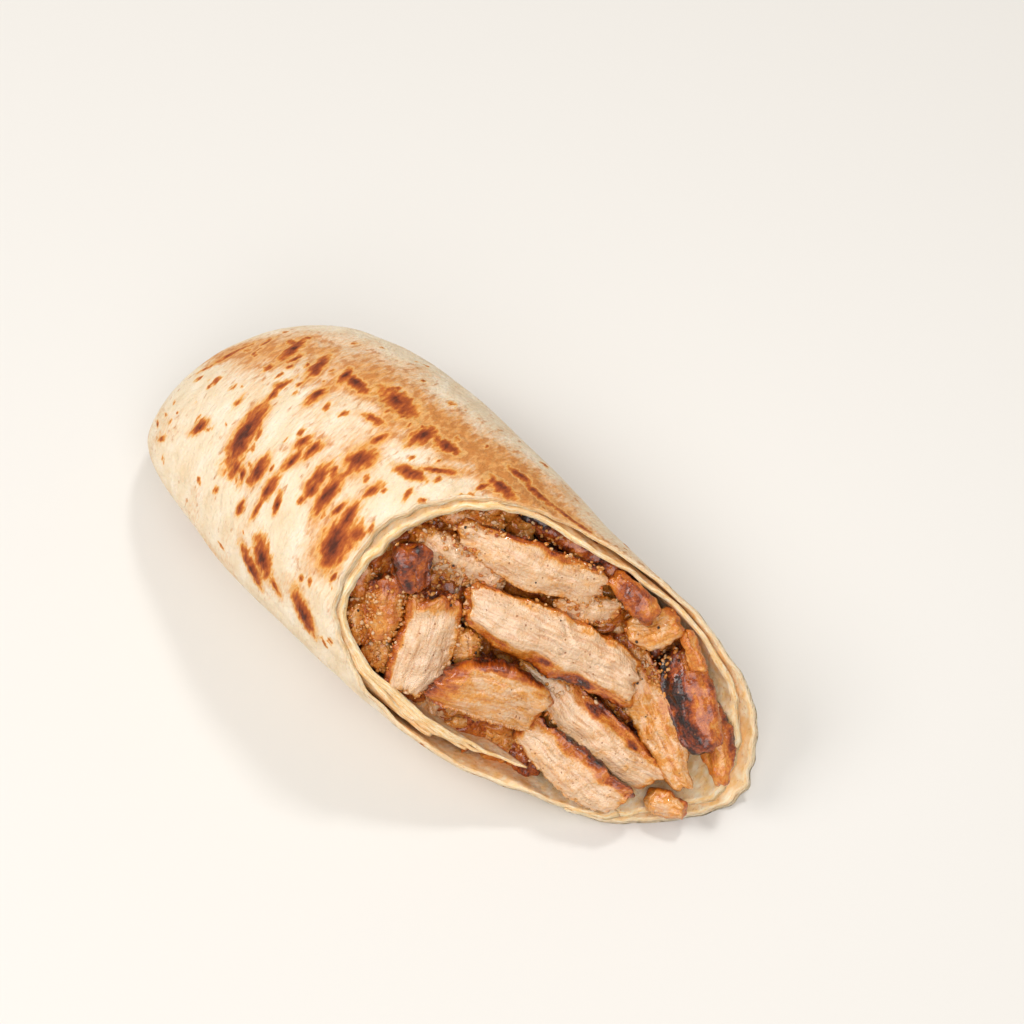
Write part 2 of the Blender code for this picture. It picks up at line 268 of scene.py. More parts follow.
print("cut faces", np.round(NORMAL, 2), "and its length runs along", np.round(ALONG, 2))

# %% [markdown]
# ## The sheet of bread
# Real flatbread is one thin sheet, so it is modelled as one: a strip that follows a spiral from
# its outer free edge to its inner one, and runs from the closed end to the cut. The outside turn
# gets the finest mesh. The inner turns are only seen near the cut, so they are made just there.
# Hand-made bread is never even: the whole roll is a little lumpy where strips of chicken press
# from inside, and its inner turns buckle near the cut, where nothing holds them.

# %% The spiral
PLY = 1.1  # thickness of the bread
EDGE = 0.45  # part of it that is left at the free edges
PITCH = 1.4  # from one turn to the next
SEAM = 236.25  # angle of the outer free edge, under the roll, in degrees
TURNS = 1.96875  # down to the inner free edge
RAMP = 5 / 32  # part of a turn over which a turn steps down under the one outside it
BUCKLE, BUCKLES = 1.3, 4  # height and number of the waves in the innermost turn
FAN, FAN_SPAN = 4.0, 0.2  # how far the inner edge stands off, and over which part of a turn
TUCKED = 1.05  # turns of the full-length strip, which ends under the outer free edge


def sheet_inset(turn):
    """How far inside the roll the sheet's outer face lies, this many turns from its outer edge."""
    whole = np.floor(turn)
    inset = PITCH * (whole + smooth_step(0, 1, (turn - whole - 1 + RAMP) / RAMP))
    inner = turn - (TURNS - 1)
    buckle = 0.5 - 0.5 * np.cos(2 * pi * BUCKLES * (inner - RAMP) / (1 - RAMP))
    inset = inset + np.where(inner > RAMP, BUCKLE * buckle, 0)
    return inset + FAN * smooth_step(0, 1, (turn - TURNS) / FAN_SPAN + 1)


# %% [markdown]
# ## Griddle spots
# Flatbread browns where it touches a hot plate: raised blisters char first, and a halo of amber
# spreads round them. Each spot is an ellipse on the unrolled sheet. Their shapes feather out in
# the material, so here they are only a soft field, highest in the middle of a spot and falling
# past its rim, with a wider zone of warmth round it.
#
# The list holds the larger spots of the seen side. All but two of its places and turns are values
# that a separate script worked out, which isn't part of this one; the sizes were then widened and
# the strengths set by hand. Only the two at x 30 and 44 were placed one by one. The far side gets
# others from a seeded dice, and so do the small freckles, most of them on the seen side.

# %% Where the spots are
# x in the roll's numbers, angle, half length, half width, turn from the roll's axis, strength
SPOTS = [
    (-55.8, 118.5, 7.0, 2.4, -96, 1.0), (-69.8, 127.5, 3.0, 1.3, -74, 0.8),
    (-45.8, 125.5, 3.2, 1.4, -90, 0.95), (-52.3, 132.0, 3.6, 1.6, -88, 0.5),
    (-49.3, 132.0, 2.1, 0.8, -105, 0.7), (-40.3, 128.0, 3.2, 1.4, -90, 0.8),
    (-40.3, 137.5, 3.6, 0.9, -88, 0.6), (-36.3, 130.5, 2.4, 0.8, -110, 0.8),
    (-44.8, 143.5, 2.0, 0.9, -87, 0.8), (-35.3, 163.0, 4.4, 1.6, -139, 0.95),
    (-32.8, 154.0, 4.2, 2.2, -128, 0.9), (-27.3, 161.0, 2.6, 1.0, 37, 0.6),
    (-17.8, 161.5, 4.2, 1.9, -137, 1.0), (-39.8, 114.0, 2.7, 1.3, 102, 0.7),
    (-40.8, 106.5, 2.6, 1.0, -61, 0.65), (-37.3, 106.5, 3.3, 1.5, -71, 0.6),
    (-31.3, 113.0, 3.8, 2.0, -84, 0.6), (-26.8, 115.5, 4.4, 1.4, -93, 0.9),
    (-30.8, 118.5, 2.3, 1.1, -77, 0.7), (-26.3, 98.0, 3.0, 2.5, -56, 0.8),
    (-18.3, 128.5, 4.0, 2.6, -100, 1.0), (-19.3, 117.5, 3.6, 1.5, -93, 0.75),
    (-15.8, 120.5, 3.8, 2.6, -92, 0.42), (-22.3, 117.0, 2.0, 0.9, -76, 0.75),
    (-18.8, 103.5, 2.8, 1.2, -70, 0.55), (-47.3, 88.5, 2.6, 1.2, -81, 0.85),
    (-54.8, 74.5, 4.4, 1.5, -106, 0.85), (-65.3, 71.5, 4.6, 1.5, -96, 0.85),
    (-61.8, 76.5, 2.8, 0.9, -82, 0.6), (-74.8, 67.0, 3.2, 1.0, -92, 0.55),
    (-81.3, 78.0, 6.0, 1.1, -64, 0.7), (-84.3, 90.0, 4.6, 0.9, -53, 0.45),
    (-57.3, 92.0, 4.0, 1.2, -76, 0.45), (-57.3, 97.0, 1.7, 0.9, -93, 0.8),
    (-64.3, 107.5, 2.2, 0.8, -89, 0.55), (-85.3, 143.5, 1.4, 0.7, -127, 0.8),
    (-79.8, 148.0, 4.0, 1.6, -56, 0.3), (-46.3, 74.0, 2.8, 1.3, -99, 0.75),
    # these two lie on the top, along the edge where the other half of the wrap leans on it: browned
    # bread, and painted contact shadow of that half
    (-42.3, 74.5, 4.6, 1.5, 4, 0.75), (-30.8, 69.5, 6.0, 3.0, 1, 0.7),
    (-26.8, 88.0, 2.6, 1.0, -69, 0.65), (-31.3, 82.5, 3.0, 0.9, -14, 0.6),
    (-20.3, 74.0, 3.4, 1.6, -78, 0.9), (-14.8, 70.5, 3.2, 1.5, -13, 0.85),
    (-15.3, 89.5, 3.2, 1.3, -15, 0.8), (-11.3, 81.5, 4.6, 0.9, -35, 0.55),
    (-11.8, 96.5, 1.6, 0.8, -95, 0.6), (1.7, 68.0, 4.0, 1.7, -2, 0.75),
    (-1.3, 74.0, 1.4, 0.7, -72, 0.7), (1.2, 55.0, 3.2, 1.2, -18, 0.75),
    (7.2, 54.0, 6.0, 1.4, -12, 0.6), (16.2, 49.0, 7.5, 1.5, -15, 0.55),
    (30.0, 45.0, 8.0, 1.5, -10, 0.6), (44.0, 40.0, 7.0, 1.4, -8, 0.55),
    (-46.3, 169.0, 1.8, 0.7, -171, 0.5), (-21.3, 148.0, 1.0, 0.8, -90, 0.6),
]
SEEN_FROM, SEEN_TO = 40, 200  # the angles between which the list's spots lie
MARGIN = 14  # degrees that the far side's spots keep from those
FAR_SPOTS, FRECKLES = 46, 230
FRECKLES_AT, FRECKLES_SPREAD = 96, 34  # degrees
dice = np.random.default_rng(5)
for _ in range(FAR_SPOTS):
    angle = dice.uniform(SEEN_TO + MARGIN, SEEN_FROM + 360 - MARGIN) % 360
    size = dice.uniform(1.4, 5.5)
    SPOTS.append((dice.uniform(-80, 60), angle, size, size * dice.uniform(0.35, 0.6),
                  dice.uniform(-120, -60), dice.uniform(0.45, 1.0)))
for _ in range(FRECKLES):
    size = dice.uniform(0.5, 1.9)
    SPOTS.append((dice.uniform(-86, 62), dice.normal(FRECKLES_AT, FRECKLES_SPREAD), size,
                  size * dice.uniform(0.4, 0.8), dice.uniform(-120, -60),
                  dice.uniform(0.25, 0.62)))
MILLIMETRES_PER_DEGREE = 0.54  # round the roll, on its mean radius of about 31 mm
SMALLEST_WARM = 1.9  # mm of half length, above which a spot warms the bread round it


def heat_at(x, angle):
    """Browning, up to 1.1 in a spot and below 0 past its rim, and warmth_and_shade: the warmth of the
    zone round the spots, plus a band along the top that is browned bread and painted contact shadow.
    """
    heat = np.full(x.shape, -1.0)
    warmth_and_shade = np.zeros(x.shape)
    for spot_x, spot_angle, length, width, turn, strength in SPOTS:
        right = x - spot_x
        round_it = ((angle - spot_angle + 180) % 360 - 180) * MILLIMETRES_PER_DEGREE
        c, s = cos(radians(turn)), sin(radians(turn))
        reach = np.hypot((right * c + round_it * s) / length, (round_it * c - right * s) / width)
        heat = np.maximum(heat, strength * 1.1 - reach)
        if length > SMALLEST_WARM:
            warmth_and_shade = np.maximum(warmth_and_shade, strength * (1 - smooth_step(0.6, 2.5, reach)))
    up = (angle - 60 + 180) % 360 - 180
    # a band along the top-back of the roll, under the edge of the other half of the wrap, which is not
    # modelled: browned bread and painted contact shadow of that half
    ridge_toast_and_shadow = smooth_step(-88, -60, x) * np.exp(-((up - 6 + 0.2 * (x + 40)) / 17) ** 2)
    tip = np.exp(-((x + 84) / 12) ** 2) * np.exp(-((up - 14) / 13) ** 2)
    return heat, np.clip(warmth_and_shade + 0.95 * ridge_toast_and_shadow + tip, 0, 1)


print(len(SPOTS), "griddle spots")

# %% [markdown]
# ## Toasted flatbread, the material
# Soft wheat flatbread is matt and cream where it stayed pale. Starch browns through honey and
# amber to dark brown. The browning field is broken up by streaky noise, because the sheet was
# stretched when it was rolled out: its grain is about 0.6 mm wide and 2 mm long, and runs round
# the roll. Inner faces stay pale and yellow, with small pores and baked patches.

# %% Flatbread material
bread, tree, shader = new_material("flatbread")
sheet_place = add(tree, "Attribute", attribute_name="sheet_mm").outputs["Vector"]
# browning_and_shade holds the spots' toast, and for the two spots near the top also painted contact
# shadow
browning_and_shade = add(tree, "Attribute", attribute_name="browning_and_shade").outputs["Fac"]
hidden = add(tree, "Attribute", attribute_name="inside").outputs["Fac"]


def streaks(width, length, detail=3.0, seed=0.0):
    """Noise on the unrolled sheet with grains this wide along the roll and this long round it."""
    place = add(tree, "Mapping", {"Vector": sheet_place, "Location": (seed, seed, seed),
                                  "Scale": (1 / width, 1 / length, 1.0)}).outputs["Vector"]
    return add(tree, "TexNoise", {"Vector": place, "Scale": 1.0, "Detail": detail}).outputs["Fac"]


def math(operation, a, b, c=0.0):
    return add(tree, "Math", {0: a, 1: b, 2: c}, operation=operation).outputs[0]


def blend(factor, a, b):
    return add(tree, "Mix", {"Factor": factor, 6: a, 7: b}, data_type="RGBA").outputs[2]


# %% Pale ground of the bread, with honey zones, painted contact shadow and specks
grain = streaks(0.6, 2.2, 4.0)
coarse = streaks(4.0, 9.0, 3.0, 31.0)
patch = streaks(16.0, 22.0, 3.0, 57.0)
freckle = streaks(1.5, 3.4, 3.0, 83.0)

warmth_and_shade = add(tree, "Attribute", attribute_name="warmth_and_shade").outputs["Fac"]
cream = ramp(tree, coarse, [(0.30, "#e8cda8"), (0.50, "#efd9b9"), (0.70, "#f4e3ca")])
# honey colour and specks grow with warmth_and_shade, so along the top band they are partly painted
# contact shadow
honey_and_shade = ramp(tree, math("ADD", math("MULTIPLY_ADD", patch, 0.8, math("MULTIPLY", grain, 0.5)),
                        math("MULTIPLY", warmth_and_shade, 0.36)), [(0.70, "#000000"), (1.0, "#ffffff")])
cream = blend(math("MULTIPLY", honey_and_shade, 0.9), cream, colour("#de9645"))
specks = ramp(tree, math("ADD", math("MULTIPLY_ADD", freckle, 1.0, math("MULTIPLY", warmth_and_shade, 0.2)),
                         math("MULTIPLY", patch, 0.3)), [(0.78, "#000000"), (0.90, "#ffffff")])
cream = blend(math("MULTIPLY", specks, 0.75), cream, colour("#c67a36"))

# %% Toasted spots
rough_edge = math("MULTIPLY_ADD", streaks(1.0, 2.4, 6.0, 11.0), 2.4, -1.2)
wide_edge = math("MULTIPLY_ADD", streaks(3.4, 6.0, 2.0, 23.0), 1.6, -0.8)
burn = math("ADD", browning_and_shade,
            math("MULTIPLY_ADD", rough_edge, 0.75, math("MULTIPLY", wide_edge, 0.5)))
level = math("MULTIPLY_ADD", burn, 0.5, 0.5)
toast = ramp(tree, level, [
    (0.26, "#efc280"), (0.36, "#e19d4b"), (0.46, "#cc752b"), (0.58, "#b0551c"),
    (0.76, "#8a3a14"), (0.95, "#55220d")])
toasted = ramp(tree, level, [(0.16, "#000000"), (0.38, "#ffffff")])
outside = blend(toasted, cream, toast)

# %% Inner faces of the bread
inner = ramp(tree, streaks(1.6, 3.0, 4.0, 5.0),
             [(0.30, "#fac880"), (0.50, "#ffdcaa"), (0.70, "#fff0d2")])
pores = ramp(tree, streaks(0.7, 0.9, 2.0, 71.0), [(0.62, "#000000"), (0.70, "#ffffff")])
inner = blend(math("MULTIPLY", pores, 0.4), inner, colour("#cc8236"))
baked = ramp(tree, math("ADD", streaks(5.0, 7.0, 4.0, 45.0), math("MULTIPLY", grain, 0.3)),
             [(0.62, "#000000"), (0.78, "#ffffff")])
inner = blend(math("MULTIPLY", baked, 0.35), inner, colour("#e2a24e"))
tree.links.new(blend(hidden, outside, inner), shader.inputs["Base Color"])

# %% Shine and relief of the bread
shader.inputs["Roughness"].default_value = 0.72
shader.inputs["IOR"].default_value = 1.4
shader.inputs["Subsurface Weight"].default_value = 0.12
shader.inputs["Subsurface Radius"].default_value = (1.0, 0.55, 0.25)
shader.inputs["Subsurface Scale"].default_value = 1.2 * MM
relief = math("MULTIPLY_ADD", streaks(0.9, 1.9, 2.0, 15.0), 1.1,
              math("MULTIPLY_ADD", grain, 0.4, math("MULTIPLY", streaks(2.4, 4.0, 2.0, 9.0), 1.0)))
bump = add(tree, "Bump", {"Height": relief, "Strength": math("MULTIPLY_ADD", hidden, -0.55, 0.9),
                          "Distance": 0.6 * MM})
tree.links.new(bump.outputs["Normal"], shader.inputs["Normal"])
print("flatbread material:", len(tree.nodes), "nodes")

# %% [markdown]
# ## The sheet's mesh
# The sheet is made in closed strips, which end where another one hides them. The first runs the
# whole length of the roll and a little past one turn, so that it ends tucked under the outer free
# edge, and its lines close to a blunt end. The second is the inner turn near the cut. Three short
# ones are folds of bread beside the inner free edge. Then the whole sheet is pushed in and out:
# the filling presses from inside, creases run along it, and it flutters where it is loose.

# %% One strip of the sheet
CLOSING_RINGS = 8  # rows of points that close the blunt end
FOLDS = (  # first and last turn, columns, rows, length back from the cut, spread, lower
    (TURNS - 0.27, TURNS - 0.06, 90, 20, 22.0, 0.30, 0.3),
    (TURNS - 0.25, TURNS - 0.03, 90, 20, 22.0, 0.55, 0.9),
    (TURNS - 0.21, TURNS - 0.01, 90, 20, 22.0, 0.78, 0.2),
)


def sheet_strip(first_turn, last_turn, columns, rows, start, spread=1.0, lower=0.0):
    """A closed strip of the sheet between two turns, as points in mm, faces and vertex values.

    `start` is the x where its lines begin, and there they close to a blunt end; or it is the
    length by which they run back from the cut. `spread` is the share of the way that the strip
    lies from the outer turn to the inner one, and `lower` how far below the cut it ends."""
    closing = CLOSING_RINGS if start < 0 else 0
    turn = np.linspace(first_turn, last_turn, columns + 1)
    outline = np.concatenate([turn, turn[::-1]])
    from_edge = np.minimum(outline, TURNS - outline) * 30
    thin = 1 - (1 - EDGE) * (1 - smooth_step(0, 2, from_edge))
    depth = np.concatenate([np.zeros(columns + 1), np.full(columns + 1, PLY)]) * np.where(
        np.arange(len(outline)) > columns, thin, 1)
    angle = SEAM + 360 * outline
    inset = sheet_inset(outline)
    inset = np.where(outline > 1, PITCH + spread * (inset - PITCH), inset) + depth
    # the outer free edge is pressed down on the turn below it
    inset += np.where(outline < 0.5, (1 - thin) * (PLY + 0.25), 0)
    ragged = 0.8 * wave(np.stack([outline * 60, outline * 0, outline * 0], -1), 4.0)
    ragged += 0.4 * wave(np.stack([outline * 180, outline * 0, outline * 0], -1), 3.0, 3)
    if spread < 1:
        lower = lower + 2.2 * smooth_step(0.7, 1, (outline - first_turn) / (last_turn - first_turn))
    end = x_at_cut(angle, inset, 0.35 + ragged + 0.35 * np.floor(outline) + lower)
    begin = np.full(end.shape, start) if start < 0 else end - start
    share = np.concatenate([np.zeros(closing), 1 - (1 - np.linspace(0, 1, rows + 1)) ** 1.5])
    rows += closing
    x = begin + (end - begin) * share[:, None]
    shape = x.shape
    all_angle, all_inset = (np.broadcast_to(v, shape).ravel() for v in (angle, inset))
    x = x.ravel()
    fade = np.maximum(smooth_step(-91.5, -76, x), 0.3)
    points = on_roll(x, all_angle, all_inset * fade)
    n = len(outline)
    if closing:
        _, _, centre_y, centre_z = section_at(x)
        axis = np.stack([x, centre_y, centre_z], -1)
        shrink = np.repeat(np.minimum((np.arange(rows + 1) + 0.3) / closing, 1), n)[:, None]
        points = axis + (points - axis) * shrink
        deeper = np.tile(depth, rows + 1) * 0.4 * (shrink[:, 0] < 1)
        points[:, 0] -= (1 - shrink[:, 0] ** 2) * 0.9 - deeper
    faces = []
    for i in range(rows):
        for j in range(n):
            k = (j + 1) % n
            faces.append((i * n + j, i * n + k, (i + 1) * n + k, (i + 1) * n + j))
    for j in range(columns):
        faces.append((j, n - 1 - j, n - 2 - j, j + 1))
        top = rows * n
        faces.append((top + j, top + j + 1, top + n - 2 - j, top + n - 1 - j))
    all_turn = np.broadcast_to(outline, shape).ravel()
    all_depth = np.broadcast_to(depth, shape).ravel()
    from_cut = -(points - CUT_CENTRE) @ NORMAL
    return points, faces, all_turn, all_angle, all_depth, from_cut


# %% How the sheet is pushed about
def lumpy(points, angle, from_cut, turn):
    """The sheet's points pushed in and out: by the filling, by wrinkles, and loose near the cut."""
    _, _, centre_y, centre_z = section_at(points[:, 0])
    outward = points - np.stack([points[:, 0], centre_y, centre_z], -1)
    from_axis = np.linalg.norm(outward, axis=1)
    outward /= from_axis[:, None] + 1e-9
    core = points - outward * 3 * turn[:, None]
    push = 0.7 * wave(core, (26, 18, 18)) + 0.3 * wave(core, (10, 8, 8), 2)
    crease = wave(core, (22, 5, 5), 4)
    push -= 0.35 * smooth_step(0.2, 0.6, crease)
    loose = np.exp(-np.maximum(from_cut, 0) / 6)
    flutter = wave(np.stack([angle * 0.12, turn * 30, from_cut * 0.15], -1), 1.0, 6)
    push += loose * (0.35 + 0.5 * np.clip(turn, 0, 1)) * flutter
    push *= smooth_step(0, 6, from_axis)
    moved = points + outward * push[:, None]
    return moved, outward


# %% The whole sheet
WRAPS = ((0.0, TUCKED, 260, 110, SECTIONS[0, 0]), (TUCKED, TURNS, 360, 34, 42.0))
parts = [sheet_strip(*numbers) for numbers in WRAPS + FOLDS]
offset = 0
all_faces = []
for part in parts:
    all_faces += [tuple(v + offset for v in face) for face in part[1]]
    offset += len(part[0])
points, turn, angle, depth, from_cut = (
    np.concatenate([part[k] for part in parts]) for k in (0, 2, 3, 4, 5))
sheet_mm = np.stack([points[:, 0], (angle - SEAM) * MILLIMETRES_PER_DEGREE, depth * 3], -1)
heat_and_shade_values, warmth_and_shade = heat_at(points[:, 0], angle)
heat_and_shade_values = np.where((turn < 1.0) & (depth < 0.05), heat_and_shade_values, -1)
inside = np.where(turn < 1.0, smooth_step(0.15, 0.7, depth), 1.0)
moved, outward = lumpy(points, angle, from_cut, turn)
blister = np.where(depth < 0.05, 0.35 * smooth_step(0.0, 0.8, heat_and_shade_values), 0)
moved += outward * blister[:, None]
moved[:, 2] = np.maximum(moved[:, 2], 0.05)

flatbread = mesh_object("flatbread_sheet", moved + SHIFT, all_faces, bread)
attribute(flatbread, "sheet_mm", sheet_mm)
attribute(flatbread, "browning_and_shade", heat_and_shade_values)
attribute(flatbread, "inside", inside)
attribute(flatbread, "warmth_and_shade", warmth_and_shade)
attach(flatbread, "root")
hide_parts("flatbread")
print("flatbread:", triangles(flatbread), "triangles")

# %% [markdown]
# ## Grilled chicken, the material
# Cooked breast meat is pale pinkish beige inside, with fibres half a millimetre apart. Its seared
# skin goes from gold through orange-brown to black where it touched the grill, and all of it is
# wet with fat and spice, so the surface is fairly glossy and full of small glints. Light enters
# the meat a little way, which subsurface scattering gives. Where the meat is seared is decided in
# the mesh; the material turns that into colour and breaks its edge up.

# %% Chicken material
def chicken_material(name, lift):
    """Meat whose `sear` attribute goes from pale flesh at 0 to char at 1; `lift` darkens all of it,
    which for the bed is partly painted shade.
    """
    material, tree, shader = new_material(name)
    sear = add(tree, "Attribute", attribute_name="sear").outputs["Fac"]
    place = add(tree, "Attribute", attribute_name="meat_mm").outputs["Vector"]

    def grains(size, detail, seed=0.0):
        place_here = add(tree, "Mapping", {"Vector": place, "Location": (seed, seed, seed),
                                           "Scale": [1 / v for v in size]}).outputs["Vector"]
        return add(tree, "TexNoise", {"Vector": place_here, "Scale": 1.0,
                                      "Detail": detail}).outputs["Fac"]

    def calc(operation, a, b, c=0.0):
        return add(tree, "Math", {0: a, 1: b, 2: c}, operation=operation).outputs[0]

    fibre = grains((5.0, 0.55, 0.9), 3.0)
    crumb = grains((0.6, 0.6, 0.6), 3.0, 20.0)
    patch = grains((3.2, 2.0, 2.0), 4.0, 40.0)
    uneven = calc("MULTIPLY_ADD", calc("SUBTRACT", patch, 0.5), 0.9,
                  calc("MULTIPLY", calc("SUBTRACT", crumb, 0.5), 0.75))
    strength = calc("MULTIPLY_ADD", sear, 0.8, 0.28)
    level = calc("ADD", calc("ADD", sear, lift), calc("MULTIPLY", uneven, strength))
    base = ramp(tree, level, [
        (0.00, "#f2cfac"), (0.12, "#edbf90"), (0.24, "#e69c44"), (0.38, "#d3761c"),
        (0.54, "#b3530d"), (0.68, "#853407"), (0.84, "#481a06"), (0.97, "#1e0c05")])
    lines = ramp(tree, fibre, [(0.34, "#dba77c"), (0.50, "#ffffff")])
    base = add(tree, "Mix", {"Factor": 0.45, 6: base, 7: lines}, data_type="RGBA",
               blend_type="MULTIPLY").outputs[2]
    spice = add(tree, "TexVoronoi", {"Vector": place, "Scale": 0.75}, feature="F1")
    chosen = calc("GREATER_THAN", add(tree, "SeparateColor", {0: spice.outputs["Color"]}).outputs[0],
                  0.72)
    fleck = calc("MULTIPLY", chosen, calc("LESS_THAN", spice.outputs["Distance"], 0.16))
    base = add(tree, "Mix", {"Factor": calc("MULTIPLY", fleck, 0.8), 6: base,
                             7: colour("#a05a20")}, data_type="RGBA").outputs[2]
    tree.links.new(base, shader.inputs["Base Color"])
    shader.inputs["Roughness"].default_value = 0.33
    shader.inputs["IOR"].default_value = 1.42
    shader.inputs["Coat Weight"].default_value = 0.8
    shader.inputs["Coat Roughness"].default_value = 0.1
    shader.inputs["Subsurface Weight"].default_value = 0.08
    shader.inputs["Subsurface Radius"].default_value = (1.0, 0.45, 0.25)
    shader.inputs["Subsurface Scale"].default_value = 1.6 * MM
    pits = calc("MULTIPLY", grains((0.3, 0.3, 0.3), 1.0, 60.0), 0.35)
    height = calc("MULTIPLY_ADD", fibre, 0.7, calc("MULTIPLY_ADD", crumb, 1.0, pits))
    bump = add(tree, "Bump", {"Height": height, "Strength": 0.9, "Distance": 0.6 * MM})
    tree.links.new(bump.outputs["Normal"], shader.inputs["Normal"])
    return material


chicken = chicken_material("grilled_chicken", 0.0)
# the filling bed is darkened all over by its lift: browner meat, and painted shade of the crevices
# between the strips
shaded_bed_material = chicken_material("filling_with_painted_shade", 0.18)
print("chicken materials:", chicken.name, "and", shaded_bed_material.name)

# %% [markdown]
# ## The strips of chicken
# Each strip starts from its CAD solid, which is plain but lies in the right place. A voxel
# remesh gives it an even fine skin, and moving that skin makes it meat: it swells to close the
# gaps that the solids keep, the face where it was sliced gets fibres and cracks, the sides get
# crumbly lumps, and the ends tear. Moving the vertices in code is chosen over a displacement
# shader, so that the shape is real in the mesh itself.

# %% How each strip was cooked
# node number: (browned side, its width in mm, char, tan all over, browned end, its length in mm)
# the sides and ends are -1 or +1 along the strip's own width and length, or 0 for none
COOKED = {
    1: (1, 2.5, 0.1, 0.50, 0, 0), 2: (-1, 6.0, 0.7, 0.72, -1, 3), 3: (-1, 3.4, 0.9, 0.02, 1, 1),
    4: (1, 3.6, 0.75, 0.08, -1, 4), 5: (1, 1.2, 0.1, 0.30, -1, 9), 6: (1, 3.4, 0.8, 0.10, 0, 0),
    7: (0, 0, 0.0, 0.08, -1, 4), 8: (-1, 1.6, 0.15, 0.04, -1, 4.5), 9: (1, 2.4, 0.3, 0.22, -1, 6),
    10: (1, 3.0, 0.5, 0.10, -1, 4), 11: (0, 0, 0.5, 0.50, -1, 6), 12: (0, 0, 0.0, 0.28, 0, 0),
    13: (0, 0, 0.0, 0.12, 1, 2), 14: (0, 0, 1.0, 0.85, -1, 14), 15: (0, 0, 0.2, 0.45, 0, 0),
    16: (0, 0, 0.7, 1.0, 0, 0), 17: (0, 0, 0.2, 0.45, 0, 0), 18: (0, 0, 0.1, 0.42, 0, 0),
    19: (0, 0, 0.3, 0.5, 0, 0), 20: (0, 0, 0.0, 0.36, 0, 0), 21: (0, 0, 0.0, 0.42, 0, 0),
    22: (0, 0, 0.0, 0.34, 0, 0), 23: (0, 0, 0.3, 0.5, 0, 0), 24: (0, 0, 0.1, 0.30, 0, 0),
    25: (0, 0, 0.7, 0.95, 0, 0), 26: (0, 0, 0.5, 0.8, 0, 0),
}
DEEP = (0, 0, 0.6, 0.7, 0, 0)  # the same for the strips that lie between and below those
# a few strips settle a little off their CAD place: mm along their own length, width and face,
# and their length as a share of the CAD length
NUDGED = {10: (-3.6, 2.4, 0.6, 0.86), 4: (-1.4, 0.6, 0.0, 0.96), 5: (-1.0, 0.0, 1.6, 1.0)}
VOXEL, DEEP_VOXEL = 0.36, 0.6  # mm, of the remesh
SWELL = 0.5  # mm that a strip grows all round, to close the gaps that the solids keep
SMALL = 4.2  # mm of half width, under which a piece is a torn lump without a clean cut face


# %% A CAD node's even skin and a strip's own axes
def remeshed(node, voxel, smoothing):
    """Points and normals in mm, and faces, of a CAD node with an even skin."""
    obj = bpy.data.objects.new("rough", node.data.copy())
    bpy.context.scene.collection.objects.link(obj)
    weld = obj.modifiers.new("weld", "WELD")
    weld.merge_threshold = 0.01 * MM
    remesh = obj.modifiers.new("remesh", "REMESH")
    remesh.mode = "VOXEL"
    remesh.voxel_size = voxel * MM
    smooth = obj.modifiers.new("smooth", "SMOOTH")
    smooth.iterations = smoothing
    mesh = obj.evaluated_get(bpy.context.evaluated_depsgraph_get()).to_mesh()
    points = np.empty(len(mesh.vertices) * 3, np.float32)
    mesh.vertices.foreach_get("co", points)
    normals = np.empty(len(mesh.vertices) * 3, np.float32)
    mesh.vertex_normals.foreach_get("vector", normals)
    faces = [tuple(face.vertices) for face in mesh.polygons]
    bpy.data.objects.remove(obj)
    return points.reshape(-1, 3) / MM, normals.reshape(-1, 3).astype(float), faces


def strip_axes(points):
    """Middle of a strip and its own axes: its length, its width and the way its cut face looks."""
    middle = (points.max(axis=0) + points.min(axis=0)) / 2
    length = np.linalg.svd(points - points.mean(axis=0), full_matrices=False)[2][0]
    if length @ ALONG < 0:
        length = -length
    face = NORMAL - length * (NORMAL @ length)
    face /= np.linalg.norm(face)
    return middle, np.stack([length, np.cross(face, length), face])


